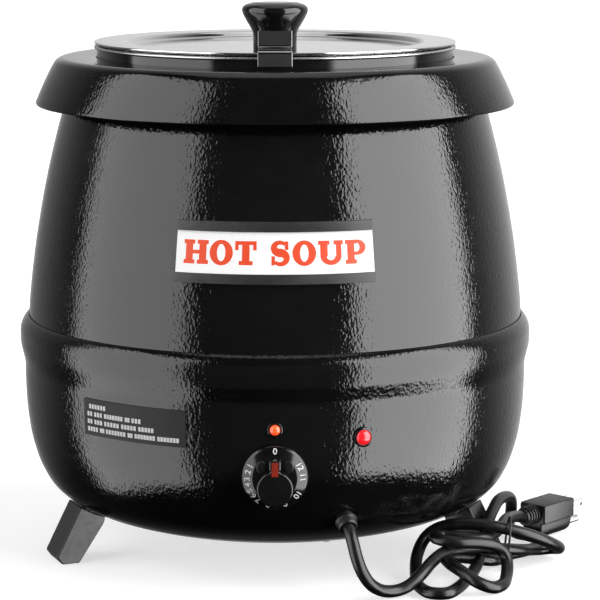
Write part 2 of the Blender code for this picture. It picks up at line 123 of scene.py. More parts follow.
# the room is bright at the back, and falls off to the front, to the left and below
room = times(
    tree, step_between(tree, split.outputs["Y"], 0.0, 0.95, 0.03, 0.95),
    step_between(tree, split.outputs["X"], -0.45, 0.05, 0.42, 1.0),
    step_between(tree, height, -34, -6, 0.1, 1.0),
)
front_card = times(
    tree, step_between(tree, height, -38, -28), step_between(tree, height, 34, 26),
    step_between(tree, split.outputs["Y"], 0.1, -0.3, 0.0, 0.08),
)
left_box = softbox(tree, mirrored, height, 40, 104, -42, 52, 3.6)
right_box = softbox(tree, bearing, height, 36, 101, -34, 52, 7.2)
ceiling = step_between(tree, height, 66, 84, 0.0, 0.35)
total = room
for light in (front_card, left_box, right_box, ceiling):
    total = wired_math(tree, "ADD", total, light)
lit = tree.nodes.new("ShaderNodeBackground")
seen = tree.nodes.new("ShaderNodeBackground")
seen.inputs["Color"].default_value = (1, 1, 1, 1)
path = tree.nodes.new("ShaderNodeLightPath")
either = tree.nodes.new("ShaderNodeMixShader")
out = tree.nodes.new("ShaderNodeOutputWorld")
wired(tree, [
    (total, lit.inputs["Strength"]), (path.outputs["Is Camera Ray"], either.inputs["Fac"]),
    (lit.outputs[0], either.inputs[1]), (seen.outputs[0], either.inputs[2]),
    (either.outputs[0], out.inputs["Surface"]),
])

floor = bpy.data.objects.new("floor", bpy.data.meshes.new("floor"))
floor.data.from_pydata([(-8, -8, 0), (8, -8, 0), (8, 8, 0), (-8, 8, 0)], [], [(0, 1, 2, 3)])
scene.collection.objects.link(floor)
paper = bpy.data.materials.new("studio_paper")
paper.use_nodes = True
tree = paper.node_tree
tree.nodes.clear()
matt = tree.nodes.new("ShaderNodeBsdfDiffuse")
matt.inputs["Color"].default_value = (0.62, 0.62, 0.62, 1)
dim = tree.nodes.new("ShaderNodeBsdfDiffuse")
dim.inputs["Color"].default_value = (0.1, 0.1, 0.1, 1)
glow = tree.nodes.new("ShaderNodeEmission")
glow.inputs["Strength"].default_value = 0.62
path = tree.nodes.new("ShaderNodeLightPath")
lifted = tree.nodes.new("ShaderNodeAddShader")
either = tree.nodes.new("ShaderNodeMixShader")
out = tree.nodes.new("ShaderNodeOutputMaterial")
wired(tree, [
    (matt.outputs[0], lifted.inputs[0]), (glow.outputs[0], lifted.inputs[1]),
    (path.outputs["Is Camera Ray"], either.inputs["Fac"]), (dim.outputs[0], either.inputs[1]),
    (lifted.outputs[0], either.inputs[2]), (either.outputs[0], out.inputs["Surface"]),
])
floor.data.materials.append(paper)
floor.visible_glossy = False

overhead = bpy.data.objects.new("overhead", bpy.data.lights.new("overhead", "AREA"))
overhead.data.size = 1.6
overhead.data.energy = 5
overhead.location = (0, 0.1, 2.2)
scene.collection.objects.link(overhead)

# ---- mains lead ------------------------------------------
# Three-core black PVC flex, 8 mm across and a little over a metre long. It leaves the bowl through a
# moulded bush, is gathered in flat loops with a wire tie, and ends in a moulded three-pin plug.

AXIS_Y = 6.75


def node_group(name, inputs, outputs):
    """An empty shader node group with these sockets, and its input and output nodes."""
    made = bpy.data.node_groups.new(name, "ShaderNodeTree")
    kinds = {"f": "NodeSocketFloat", "c": "NodeSocketColor", "v": "NodeSocketVector"}
    for way, sockets in (("INPUT", inputs), ("OUTPUT", outputs)):
        for label, kind in sockets:
            made.interface.new_socket(label, in_out=way, socket_type=kinds[kind])
    return made, made.nodes.new("NodeGroupInput"), made.nodes.new("NodeGroupOutput")


def noise(tree, vector, scale, detail=2.0, rough=0.5, distortion=0.0):
    """A noise texture's factor; scale is a number or an output socket."""
    made = tree.nodes.new("ShaderNodeTexNoise")
    made.inputs["Detail"].default_value = detail
    made.inputs["Roughness"].default_value = rough
    made.inputs["Distortion"].default_value = distortion
    if isinstance(scale, (int, float)):
        made.inputs["Scale"].default_value = scale
    else:
        tree.links.new(scale, made.inputs["Scale"])
    tree.links.new(vector, made.inputs["Vector"])
    return made.outputs["Fac"]


def spread(tree, value, low, high, to_low=0.0, to_high=1.0):
    """The value stretched from low..high to to_low..to_high; each limit is a number or an output socket."""
    made = tree.nodes.new("ShaderNodeMapRange")
    tree.links.new(value, made.inputs["Value"])
    for label, limit in (("From Min", low), ("From Max", high), ("To Min", to_low), ("To Max", to_high)):
        if isinstance(limit, (int, float)):
            made.inputs[label].default_value = limit
        else:
            tree.links.new(limit, made.inputs[label])
    return made.outputs["Result"]


def mixed(tree, factor, first, second):
    """Two colours mixed by a factor; a colour is a triple or an output socket."""
    made = tree.nodes.new("ShaderNodeMix")
    made.data_type = "RGBA"
    tree.links.new(factor, made.inputs["Factor"])
    for label, colour in (("A", first), ("B", second)):
        socket = next(s for s in made.inputs if s.name == label and s.type == "RGBA")
        if isinstance(colour, tuple):
            socket.default_value = (*colour, 1)
        else:
            tree.links.new(colour, socket)
    return next(s for s in made.outputs if s.type == "RGBA")


# Handling: the colour clouds a little over some centimetres, and finger grease and dust change the gloss.
HANDLING, enter, leave = node_group(
    "handling", [("Colour", "c"), ("Faded", "c"), ("Clean", "f"), ("Dull", "f"), ("Size", "f")],
    [("Colour", "c"), ("Roughness", "f"), ("Height", "f")],
)
place = HANDLING.nodes.new("ShaderNodeTexCoord").outputs["Object"]
clouds = noise(HANDLING, place, enter.outputs["Size"], 3)
finer = noise(HANDLING, place, times(HANDLING, enter.outputs["Size"], 6.0), 5, 0.6)
grains = noise(HANDLING, place, times(HANDLING, enter.outputs["Size"], 60.0), 2)
specks = spread(HANDLING, noise(HANDLING, place, 900, 1), 0.7, 0.76)
blotches = spread(HANDLING, wired_math(HANDLING, "ADD", clouds, finer), 0.8, 1.25)
tinted = mixed(HANDLING, blotches, enter.outputs["Colour"], enter.outputs["Faded"])
dusty = mixed(HANDLING, times(HANDLING, specks, 0.05), tinted, (0.16, 0.155, 0.15))
dulled = spread(HANDLING, blotches, 0, 1, enter.outputs["Clean"], enter.outputs["Dull"])
wired(HANDLING, [
    (dusty, leave.inputs["Colour"]), (dulled, leave.inputs["Roughness"]), (grains, leave.inputs["Height"]),
])


def finish_of(
    name, colour, faded, clean, dull, size=40.0, metallic=0.0, height=None, depth=0.02, **constants
):
    """A Principled material worked by the handling group, from a clean and a faded colour and the roughness
    where it is clean and where it is dull. height(tree) may give another height for the bump; depth is the
    bump's depth in mm. Other keywords are constants of the shader, spaces as underscores."""
    made = bpy.data.materials.new(name)
    made.use_nodes = True
    tree = made.node_tree
    shader = tree.nodes["Principled BSDF"]
    hands = tree.nodes.new("ShaderNodeGroup")
    hands.node_tree = HANDLING
    hands.inputs["Colour"].default_value = (*colour, 1)
    hands.inputs["Faded"].default_value = (*faded, 1)
    hands.inputs["Clean"].default_value = clean
    hands.inputs["Dull"].default_value = dull
    hands.inputs["Size"].default_value = size
    bump = tree.nodes.new("ShaderNodeBump")
    bump.inputs["Strength"].default_value = 1.0
    bump.inputs["Distance"].default_value = depth * 0.001
    wired(tree, [
        (hands.outputs["Colour"], shader.inputs["Base Color"]),
        (hands.outputs["Roughness"], shader.inputs["Roughness"]),
        (height(tree) if height else hands.outputs["Height"], bump.inputs["Height"]),
        (bump.outputs[0], shader.inputs["Normal"]),
    ])
    shader.inputs["Metallic"].default_value = metallic
    for label, value in constants.items():
        shader.inputs[label.replace("_", " ")].default_value = value
    return made


pvc = finish_of("black_pvc", (0.006, 0.006, 0.0065), (0.011, 0.011, 0.0115), 0.26, 0.38, 30, depth=0.03)
moulded = finish_of(
    "moulded_black", (0.009, 0.009, 0.0095), (0.016, 0.016, 0.0165), 0.32, 0.44, 50, depth=0.05
)
brass = finish_of("brass", (0.72, 0.52, 0.24), (0.5, 0.36, 0.17), 0.18, 0.4, 120, 1.0)


def solid(name, points, faces, sharp=35):
    """Points in mm and faces as one closed mesh, its doubles merged, its faces outward, at its place."""
    mesh = bpy.data.meshes.new(name)
    mesh.from_pydata((np.asarray(points, float) * 0.001).tolist(), [], [list(f) for f in faces])
    bm = bmesh.new()
    bm.from_mesh(mesh)
    bmesh.ops.remove_doubles(bm, verts=bm.verts, dist=1e-7)
    bmesh.ops.recalc_face_normals(bm, faces=bm.faces)
    bm.to_mesh(mesh)
    bm.free()
    mesh.shade_smooth()
    mesh.set_sharp_from_angle(angle=math.radians(sharp))
    made = bpy.data.objects.new(name, mesh)
    scene.collection.objects.link(made)
    return made


def grid_faces(rows, columns, rows_closed=False, columns_closed=False):
    """The quads of a grid of points numbered row by row, with its last row or column joined to the first."""
    i = np.arange(rows if rows_closed else rows - 1)[:, None]
    j = np.arange(columns if columns_closed else columns - 1)[None, :]
    after_i, after_j = (i + 1) % rows, (j + 1) % columns
    corners = [i * columns + j, i * columns + after_j, after_i * columns + after_j, after_i * columns + j]
    return np.stack([np.broadcast_to(c, (i.size, j.size)).ravel() for c in corners], axis=1)


def fitted(piece, material, body, slot, *replaced):
    """The piece gets its material, rides on its body, and stands for the named solids."""
    piece.data.materials.clear()
    piece.data.materials.append(material)
    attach(piece, body)
    if replaced:
        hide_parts(*replaced)
    return piece


def refinish(material, *names):
    """A solid whose shape is right keeps it and gets this material."""
    for name in names:
        nodes[name].data.materials.clear()
        nodes[name].data.materials.append(material)


def rounded(outline, radii, steps=4, closed=True):
    """An outline in mm with each corner cut back by its radius and filled by a quadratic curve. radii is one
    number or one per corner; a radius is limited to 0.45 of the shorter side beside its corner."""
    points = np.asarray(outline, float)
    radii = np.broadcast_to(np.asarray(radii, float), len(points))
    before, after = np.roll(points, 1, axis=0), np.roll(points, -1, axis=0)
    back, on = before - points, after - points
    back_long, on_long = np.linalg.norm(back, axis=1), np.linalg.norm(on, axis=1)
    cut = np.minimum(radii, 0.45 * np.minimum(back_long, on_long))[:, None]
    start = points + back / back_long[:, None] * cut
    end = points + on / on_long[:, None] * cut
    t = np.linspace(0, 1, steps + 1)[None, :, None]
    curve = (1 - t) ** 2 * start[:, None] + 2 * t * (1 - t) * points[:, None] + t**2 * end[:, None]
    curve = curve.reshape(-1, points.shape[1])
    if not closed:
        curve = np.vstack([points[:1], curve[steps + 1 : -steps - 1], points[-1:]])
    moved = np.linalg.norm(np.diff(curve, axis=0), axis=1) > 1e-6
    return curve[np.concatenate([[True], moved])]


def turned(name, outline, around=192, centre=(0.0, AXIS_Y), start=0.0, sweep=math.tau, sharp=35):
    """A closed (radius, height) outline in mm turned about a vertical line: x = r sin a, y = -r cos a."""
    outline = np.asarray(outline, float)
    whole = sweep >= math.tau - 1e-6
    a = start + sweep * np.arange(around if whole else around + 1) / around
    r, z = outline[:, 0][None, :], outline[:, 1][None, :]
    x = r * np.sin(a)[:, None] + centre[0]
    y = -r * np.cos(a)[:, None] + centre[1]
    points = np.stack([x, y, np.broadcast_to(z, x.shape)], axis=-1).reshape(-1, 3)
    count = len(outline)
    faces = grid_faces(len(a), count, rows_closed=whole, columns_closed=True).tolist()
    if not whole:
        faces += [list(range(count)), list(range(len(points) - count, len(points)))[::-1]]
    return solid(name, points, faces, sharp)


def smooth_route(points, spacing):
    """A Catmull-Rom curve through the points, with a point about every `spacing` mm."""
    points = np.asarray(points, float)
    ends = np.vstack([2 * points[0] - points[1], points, 2 * points[-1] - points[-2]])
    runs = [points[:1]]
    for a, b, c, d in zip(ends, ends[1:], ends[2:], ends[3:]):
        steps = max(1, round(float(np.linalg.norm(c - b)) / spacing))
        t = (np.arange(1, steps + 1) / steps)[:, None]
        runs.append(
            0.5 * (2 * b + (c - a) * t + (2 * a - 5 * b + 4 * c - d) * t**2 + (3 * b - a - 3 * c + d) * t**3)
        )
    return np.concatenate(runs)


def frames_along(path, closed=False):
    """Two directions square to a path at each point, from its tangents and a fixed vector."""
    ahead = (np.roll(path, -1, 0) - np.roll(path, 1, 0)) if closed else np.gradient(path, axis=0)
    ahead /= np.linalg.norm(ahead, axis=1)[:, None]
    fixed = np.array([0.31, 0.22, 0.92])
    side = np.cross(ahead, fixed)
    side /= np.linalg.norm(side, axis=1)[:, None]
    return side, np.cross(side, ahead)


def swept(name, path, radii, around=20, closed=False, sharp=60):
    """A round tube: a circle of the given radius at each point of the path, square to it, with flat ends."""
    path = np.asarray(path, float)
    side, rise = frames_along(path, closed)
    a = math.tau * np.arange(around) / around
    r = np.broadcast_to(np.asarray(radii, float), len(path))[:, None, None]
    ring = np.cos(a)[None, :, None] * side[:, None] + np.sin(a)[None, :, None] * rise[:, None]
    points = (path[:, None] + r * ring).reshape(-1, 3)
    faces = grid_faces(len(path), around, rows_closed=closed, columns_closed=True).tolist()
    if not closed:
        faces += [list(range(around)), list(range(len(points) - around, len(points)))[::-1]]
    return solid(name, points, faces, sharp)


LEAD_R = 4.0
LEAD_ROUTE = [
    # from inside the bush, down to the table and along it
    (41.1, -133.7, 58.6), (43.2, -141.1, 54.1), (45.1, -147.6, 50), (46.8, -153.1, 46.2), (48.8, -157.6, 40),
    (51, -159.6, 31.5), (54.4, -159, 22), (60, -155, 12.8), (67.6, -148, 6.6), (76.5, -141.5, 4.6),
    (85, -138, 7),
    # over the first loop and away to the right
    (93, -132, 12.5), (101, -119, 17.5), (110, -105, 20), (121, -94, 19), (135, -87, 17.5), (150, -81, 15.5),
    (162, -70, 12), (169.5, -57, 8.5), (177, -47, 6),
    # back along the top of the bundle
    (185, -44, 6), (189.5, -53, 8.5), (186, -64.5, 13.5), (177, -75.5, 20), (166, -82, 25.5), (152, -85, 30),
    (136, -86, 33), (119, -84, 33), (106, -82, 29.5),
    # the large loop on the left, on the table
    (97.5, -85, 23), (92.5, -95, 15), (91, -107, 8.5), (91, -121, 4.6), (93, -134, 4.2), (98.5, -145, 4.2),
    (109, -145.5, 4.2), (117.5, -131, 4.2), (124, -112, 4.3), (130.5, -95, 6.5),
    # up beside the leg, over, and down behind the plug
    (135, -81, 13), (138.5, -68, 21), (142, -54, 27.5), (146.5, -39, 31.5), (151, -25, 34),
    (156.5, -12, 33.5), (161, -1.5, 30.2), (163, 7, 24), (163.2, 12.5, 15.5), (161.8, 8.5, 8.5),
    (165.5, 0, 5.2),
    # forward under the plug's tail, and back to the left, low down
    (173, -6.5, 4.8), (180, -14.5, 4.4), (182, -25, 4.3), (177, -35.5, 4.3), (168, -44, 4.3), (157, -53, 4.3),
    (149, -66, 4.6), (141, -79.5, 7.5), (128, -87, 11), (117, -93, 13.5),
    # the small loop in front
    (110.5, -103, 15.5), (112.5, -117, 15.5), (119, -130, 14), (128, -138, 9.5), (138, -136, 5.2),
    (145.5, -126, 4.2), (149, -113, 5.5), (150.5, -103, 10.5), (149, -98, 17), (142, -98.5, 22.5),
    (131, -103, 25.5), (118, -107.5, 27), (107.5, -105, 28), (103.5, -97.5, 28), (109, -91, 27),
    # between the others, and out to the plug
    (121, -92.5, 26.5), (134, -90.5, 25), (143, -79, 25), (149.5, -64, 26), (154, -48, 26.5),
    (158.5, -33, 24.5), (164, -19, 21.5), (170.3, -7.8, 18.3), (174.5, -3, 18.3),
]
lead_line = smooth_route(LEAD_ROUTE, 2.5)
curve = bpy.data.curves.new("mains_lead", "CURVE")
curve.dimensions = "3D"
curve.bevel_depth = LEAD_R * 0.001
curve.bevel_resolution = 6
curve.use_fill_caps = True
spline = curve.splines.new("POLY")
spline.points.add(len(lead_line) - 1)
spline.points.foreach_set("co", np.column_stack([lead_line * 0.001, np.ones(len(lead_line))]).ravel())
spline.use_smooth = True
mains_lead = bpy.data.objects.new("mains_lead", curve)
scene.collection.objects.link(mains_lead)
fitted(mains_lead, pvc, "kettle", "black_pvc", "cord_free", "cord_bundle", "cord_lead", "cord_loop")

# The bush is a round moulding with a snap flange, set square to the bowl where the lead comes out.
EXIT_ANGLE, EXIT_TILT, EXIT_R, EXIT_Z = math.radians(16.3), math.radians(30.5), 157.6, 52.0
EXIT_AT = Vector((EXIT_R * math.sin(EXIT_ANGLE), AXIS_Y - EXIT_R * math.cos(EXIT_ANGLE), EXIT_Z))
bush_outline = rounded([
    (4.2, -14), (5.3, -14), (5.7, -2.4), (5.7, 0.7), (7.0, 0.7), (7.2, 2.4), (6.6, 3.6), (6.1, 6.8),
    (5.5, 7.8), (4.2, 7.8),
], 0.7)
bush = turned("lead_bush", bush_outline, 64, centre=(0, 0))
outward = Matrix.Rotation(EXIT_ANGLE, 4, "Z") @ Matrix.Rotation(math.pi / 2 + EXIT_TILT, 4, "X")
bush.data.transform(Matrix.Translation(EXIT_AT * 0.001) @ outward)
fitted(bush, moulded, "kettle", "black_gloss", "cord_bushing")

# The tie is a plastic-covered wire bent round the strands as one leaning oval.
turn = np.linspace(0, math.tau, 72, endpoint=False)
tie_line = np.stack([
    152.5 + 1.2 * np.sin(turn), -79.5 - 12.2 * np.cos(turn) - 4.5 * np.sin(turn),
    19.2 + 18.6 * np.sin(turn) + 1.0 * np.cos(turn),
], axis=1)
TIE_R = 0.75
tie = swept("wire_tie", tie_line, TIE_R, 10, closed=True)
fitted(tie, moulded, "kettle", "black_pvc")

# The plug: a flat-topped body with a round belly under it for the earth pin, and a ribbed tail.
PLUG_AT, PLUG_TURN = Vector((170.5, -7.5, 0.5)), math.radians(48)
TAIL_Z = 17.8
t = np.radians(np.linspace(180, 360, 19))
belly = np.column_stack([8.2 * np.cos(t), 8.6 + 8.4 * np.sin(t)])
across = rounded(
    [(10.8, 12.3), (10.8, 25), (-10.8, 25), (-10.8, 12.3), (-8.2, 11.6), *belly, (8.2, 11.6)],
    [0.8, 1.2, 1.2, 0.8, 0.5, *[0.3] * len(belly), 0.5], 4,
)
along = np.array([9.2, 9.9, 11, 42, 43.2, 44.0])
shrink = np.array([0.86, 0.965, 1.0, 1.0, 0.985, 0.93])
middle = np.array([0, 14.0])
rings = (across[None] - middle) * shrink[:, None, None] + middle
body_points = np.concatenate([np.broadcast_to(along[:, None, None], (*rings.shape[:2], 1)), rings], axis=2)
count = len(across)
plug_faces = grid_faces(len(along), count, columns_closed=True).tolist()
plug_faces += [list(range(count)), list(range((len(along) - 1) * count, len(along) * count))[::-1]]
plug = solid("plug_moulding", body_points.reshape(-1, 3), plug_faces)
tail_outline = [(4.2, -1.5), (4.8, -1.5)]
for rib in range(4):
    low, wider = -0.6 + 2.6 * rib, 0.15 * rib
    tail_outline += [(5.3, low + 0.6), (6.5 + wider, low + 0.9), (6.6 + wider, low + 2.0), (5.5, low + 2.4)]
tail_outline += [(7.2, 10.4), (0, 10.4), (0, 5), (4.2, 5)]
tail = turned("plug_tail", rounded(tail_outline, 0.3, 3), 48, centre=(0, 0))
tail.data.transform(Matrix.Translation((0, 0, TAIL_Z * 0.001)) @ Matrix.Rotation(math.pi / 2, 4, "Y"))
stand = Matrix.Translation(PLUG_AT * 0.001) @ Matrix.Rotation(PLUG_TURN, 4, "Z")
for moulding in (plug, tail):
    moulding.data.transform(stand)
fitted(plug, moulded, "kettle", "black_pvc", "plug_body")
fitted(tail, moulded, "kettle", "black_pvc")
plated = finish_of("nickel_plate", (0.8, 0.79, 0.77), (0.66, 0.65, 0.62), 0.14, 0.3, 120, 1.0)
refinish(plated, "plug_blade_left", "plug_blade_right", "earth_pin")
refinish(brass, "earth_screw", "sensing_bulb")

# ---- shell -----------------------------------------------
# Spun and drawn sheet steel, 1.2 mm thick: a bowl with a rolled bead, a tapered body seated in it, and a
# pressed collar round the top. It is all stove-enamelled black hammertone, smooth only on the collar's top.

# Hammertone: the enamel draws into shallow rounded dimples about 2 to 3 mm across with soft ridges between.
DIMPLES, enter, leave = node_group(
    "hammertone_dimples", [("Size", "f"), ("Smooth Above", "f")], [("Height", "f"), ("Ridge", "f")]
)
place = DIMPLES.nodes.new("ShaderNodeTexCoord").outputs["Object"]
warp = DIMPLES.nodes.new("ShaderNodeTexNoise")
warp.inputs["Scale"].default_value = 260
lean = DIMPLES.nodes.new("ShaderNodeVectorMath")
lean.operation = "MULTIPLY_ADD"
lean.inputs[1].default_value = (0.0022, 0.0022, 0.0022)
tall = DIMPLES.nodes.new("ShaderNodeVectorMath")
tall.operation = "MULTIPLY"
tall.inputs[1].default_value = (1, 1, 0.62)
cells = DIMPLES.nodes.new("ShaderNodeTexVoronoi")
cells.feature = "SMOOTH_F1"
cells.inputs["Smoothness"].default_value = 0.7
ripple = noise(DIMPLES, tall.outputs[0], times(DIMPLES, enter.outputs["Size"], 0.8), 1.5, 0.45, 0.4)
dips = times(DIMPLES, cells.outputs["Distance"], 0.7)
joined = wired_math(DIMPLES, "ADD", dips, times(DIMPLES, ripple, 1.1))
level = DIMPLES.nodes.new("ShaderNodeSeparateXYZ")
fade = DIMPLES.nodes.new("ShaderNodeMapRange")
fade.interpolation_type = "SMOOTHSTEP"
fade.inputs["To Min"].default_value = 1
fade.inputs["To Max"].default_value = 0.06
wired(DIMPLES, [
    (place, tall.inputs[0]), (place, warp.inputs["Vector"]), (warp.outputs["Color"], lean.inputs[0]),
    (tall.outputs[0], lean.inputs[2]),
    (lean.outputs[0], cells.inputs["Vector"]), (enter.outputs["Size"], cells.inputs["Scale"]),
    (place, level.inputs[0]), (level.outputs["Z"], fade.inputs["Value"]),
    (enter.outputs["Smooth Above"], fade.inputs["From Max"]),
    (wired_math(DIMPLES, "SUBTRACT", enter.outputs["Smooth Above"], 0.005), fade.inputs["From Min"]),
    (times(DIMPLES, joined, fade.outputs[0]), leave.inputs["Height"]),
    (spread(DIMPLES, joined, 0.75, 1.15), leave.inputs["Ridge"]),
])


def dimpled(tree):
    """The hammertone's height, from its group placed in this material."""
    made = tree.nodes.new("ShaderNodeGroup")
    made.node_tree = DIMPLES
    made.inputs["Size"].default_value = 640
    made.inputs["Smooth Above"].default_value = 0.3312
    return made.outputs["Height"]


hammertone = finish_of(
    "black_hammertone", (0.0036, 0.0036, 0.0038), (0.0054, 0.0054, 0.0056), 0.07, 0.13, 14, height=dimpled,
    depth=0.12, Specular_IOR_Level=0.5,
)
SHEET = 1.2


def walled(line, thickness=SHEET):
    """A closed outline of a sheet from the open line of its outer side, its wall to the line's left."""
    line = np.asarray(line, float)
    step = np.diff(line, axis=0)
    step /= np.linalg.norm(step, axis=1)[:, None]
    left = np.column_stack([-step[:, 1], step[:, 0]])
    joint = np.vstack([left[:1], left[:-1] + left[1:], left[-1:]])
    joint /= np.linalg.norm(joint, axis=1)[:, None]
    squeeze = np.clip(np.einsum("ij,ij->i", joint, np.vstack([left, left[-1:]])), 0.5, None)[:, None]
    return np.vstack([line, (line + joint * thickness / squeeze)[::-1]])


bowl_line = rounded([
    (84, 23.4), (96.4, 23.4), (96.9, 22.3), (116.2, 27), (133.7, 33), (146, 40), (154.2, 48), (161, 61),
    (166.1, 78), (168.9, 99), (169.6, 120), (169.5, 128.5), (171, 135), (172.5, 141.5), (172.5, 151),
    (171.2, 155.2), (168.8, 158.6), (167, 160),
], [0, 0.4, 0.4, 8, 8, 8, 8, 9, 10, 10, 4, 3, 3, 4, 3, 2.6, 1.5, 0], 5, closed=False)
bowl = turned("bowl_shell", walled(bowl_line), sharp=60)
fitted(bowl, hammertone, "kettle", "black_hammertone", "lower_bowl")

body_line = rounded([
    (166.2, 137), (166.6, 163.6), (164.4, 185.4), (160.8, 212.5), (155, 245), (149.6, 269), (143.4, 293),
    (137, 313), (130.5, 325), (126, 326.4), (120.4, 326.4),
], [0, 10, 12, 14, 14, 12, 12, 8, 4, 2, 0], 5, closed=False)
body = turned("body_shell", walled(body_line), sharp=60)
fitted(body, hammertone, "kettle", "black_hammertone", "upper_body")

collar_outline = rounded([
    (119.6, 328.2), (122.5, 328.2), (122.5, 329.6), (142, 329.6), (147.4, 323.8), (152.6, 313.4),
    (158.2, 301.5), (159.6, 301.1), (160.1, 302.4), (155, 314.4), (149.7, 325), (146.6, 330.3),
    (142.5, 332.3), (119.6, 332.3),
], [0.4, 0.4, 0.3, 1.5, 3, 4, 0.3, 0.6, 0.8, 8, 6, 3, 2.6, 0.6], 5)
collar = turned("collar_pressing", collar_outline, sharp=60)
fitted(collar, hammertone, "kettle", "black_gloss", "collar")

# ---- base and legs ---------------------------------------
# The base plate is zinc-plated steel held by three screws. Each leg is a thick angled bar, enamelled gloss
# black, with rounded edges, and one screw from inside the bowl holds it.


def spangled(tree):
    """Zinc plate: faint grains of crystals, as a bump height."""
    place = tree.nodes.new("ShaderNodeTexCoord").outputs["Object"]
    made = tree.nodes.new("ShaderNodeTexVoronoi")
    made.inputs["Scale"].default_value = 420
    tree.links.new(place, made.inputs["Vector"])
    return made.outputs["Distance"]


zinc = finish_of("zinc_plate", (0.58, 0.59, 0.61), (0.42, 0.42, 0.43), 0.22, 0.45, 60, 1.0, spangled, 0.012)
refinish(
    zinc, "base_plate", "base_screw_1", "base_screw_2", "base_screw_3", "leg_screw_left", "leg_screw_right",
    "leg_screw_rear", "heater_clamp", "clamp_nut", "thermostat_nut", "knob_screw",
)


def orange_peel(tree):
    """Sprayed enamel: a low, even ripple about 1 mm across, as a bump height."""
    place = tree.nodes.new("ShaderNodeTexCoord").outputs["Object"]
    return noise(tree, place, 700, 2, 0.4)


leg_enamel = finish_of(
    "leg_enamel", (0.006, 0.006, 0.0065), (0.01, 0.01, 0.01), 0.2, 0.32, 30, height=orange_peel, depth=0.02
)
leg_side = rounded([
    (145.4, 0), (157.3, 0), (160.9, 5), (144, 37.8), (133.7, 32.5), (126.9, 30.1), (127.7, 26),
], [0.8, 1, 1.4, 1, 1, 1, 3], 4)


def bar(name, outline, half, turn_z, bevel):
    """A (radius, height) outline in mm pushed out `half` mm to each side, turned to its place about the
    kettle's axis, its edges rounded by a live bevel."""
    outline = np.asarray(outline, float)
    count = len(outline)
    side = np.repeat([-half, half], count)
    out_by, height = np.tile(outline[:, 0], 2), np.tile(outline[:, 1], 2)
    x = side * math.cos(turn_z) + out_by * math.sin(turn_z)
    y = side * math.sin(turn_z) - out_by * math.cos(turn_z) + AXIS_Y
    faces = grid_faces(2, count, columns_closed=True).tolist()
    faces += [list(range(count)), list(range(count, 2 * count))[::-1]]
    made = solid(name, np.column_stack([x, y, height]), faces, 30)
    edges = made.modifiers.new("edges", "BEVEL")
    edges.width = bevel * 0.001
    edges.segments = 3
    edges.limit_method = "ANGLE"
    edges.angle_limit = math.radians(50)
    edges.harden_normals = True
    return made


LEG_HALF, LEG_EDGE = 12.8, 1.1
for where_is, angle in (("left", -68), ("right", 68), ("rear", 180)):
    leg = bar(f"leg_bar_{where_is}", leg_side, LEG_HALF, math.radians(angle), LEG_EDGE)
    fitted(leg, leg_enamel, "kettle", "black_gloss", f"leg_{where_is}")

# ---- well and heater -------------------------------------
# Inside the shell: a deep-drawn stainless well, a sheathed ring element clamped under its floor with a
# sensing bulb and a safety cut-out, and the nylon thermostat and terminal block.


def spun_grain(tree):
    """Satin polishing: fine lines round the axis, stronger and weaker by noise along the height."""
    place = tree.nodes.new("ShaderNodeTexCoord").outputs["Object"]
    made = tree.nodes.new("ShaderNodeMapping")
    drawn_out = 0.06
    made.inputs["Location"].default_value = (0, -AXIS_Y * 0.001 * drawn_out, 0)
    made.inputs["Scale"].default_value = (drawn_out, drawn_out, 1)
    tree.links.new(place, made.inputs["Vector"])
    return noise(tree, made.outputs[0], 2600, 3, 0.6)


satin = finish_of(
    "satin_steel", (0.62, 0.62, 0.625), (0.52, 0.52, 0.525), 0.24, 0.36, 22, 1.0, spun_grain, 0.006
)
bright = finish_of("ground_steel", (0.6, 0.6, 0.61), (0.48, 0.48, 0.49), 0.2, 0.34, 80, 1.0)
sheath = finish_of("heater_sheath", (0.28, 0.24, 0.2), (0.16, 0.13, 0.12), 0.4, 0.6, 60, 1.0, depth=0.04)
gloss = finish_of("gloss_black", (0.004, 0.004, 0.0042), (0.007, 0.007, 0.007), 0.07, 0.14, 60, depth=0.008)
nylon = finish_of("natural_nylon", (0.74, 0.73, 0.68), (0.66, 0.64, 0.58), 0.42, 0.55, 60, depth=0.03)

well_outline = rounded([
    (0, 83.2), (104, 83.2), (113.4, 87.4), (117.8, 97), (117.8, 337.9), (119, 337.9), (119, 328),
    (129, 328), (129, 326.7), (119, 326.7), (119, 96.7), (114.3, 86.5), (104.3, 82), (3, 82), (3, 60),
    (0, 60),
], [0, 6, 6, 8, 0.3, 0.5, 0.8, 0.4, 0.4, 0.8, 8, 6, 6, 0.8, 0.4, 0], 4)
well = turned("dry_well", well_outline)
fitted(well, satin, "kettle", "satin_steel", "well")
# Its lip outside the pot is given the gloss black.
LIP_INNER_R, LIP_UNDERSIDE = 118.6, 326.6
well.data.materials.append(gloss)
centres = np.empty(3 * len(well.data.polygons))
well.data.polygons.foreach_get("center", centres)
x, y, z = centres.reshape(-1, 3).T * 1000
# the faces outside the lip's inner radius and above its underside take the gloss black
enamelled = (np.hypot(x, y - AXIS_Y) > LIP_INNER_R) & (z > LIP_UNDERSIDE)
well.data.polygons.foreach_set("material_index", enamelled.astype(np.int32))
refinish(nylon, "thermostat_body", "terminal_block")
refinish(bright, "thermal_cutout", "thermostat_shaft", "hinge_bracket", "hinge_pin")
HEAT_R, HEAT_Z, SHEATH_R = 70, 77.7, 4.0
a = np.radians(np.linspace(12, 348, 90))
heat_line = np.column_stack([HEAT_R * np.sin(a), AXIS_Y + HEAT_R * np.cos(a), np.full(len(a), HEAT_Z)])
element = swept("ring_element", heat_line, SHEATH_R, 16)
fitted(element, sheath, "kettle", "satin_steel", "heater_ring")

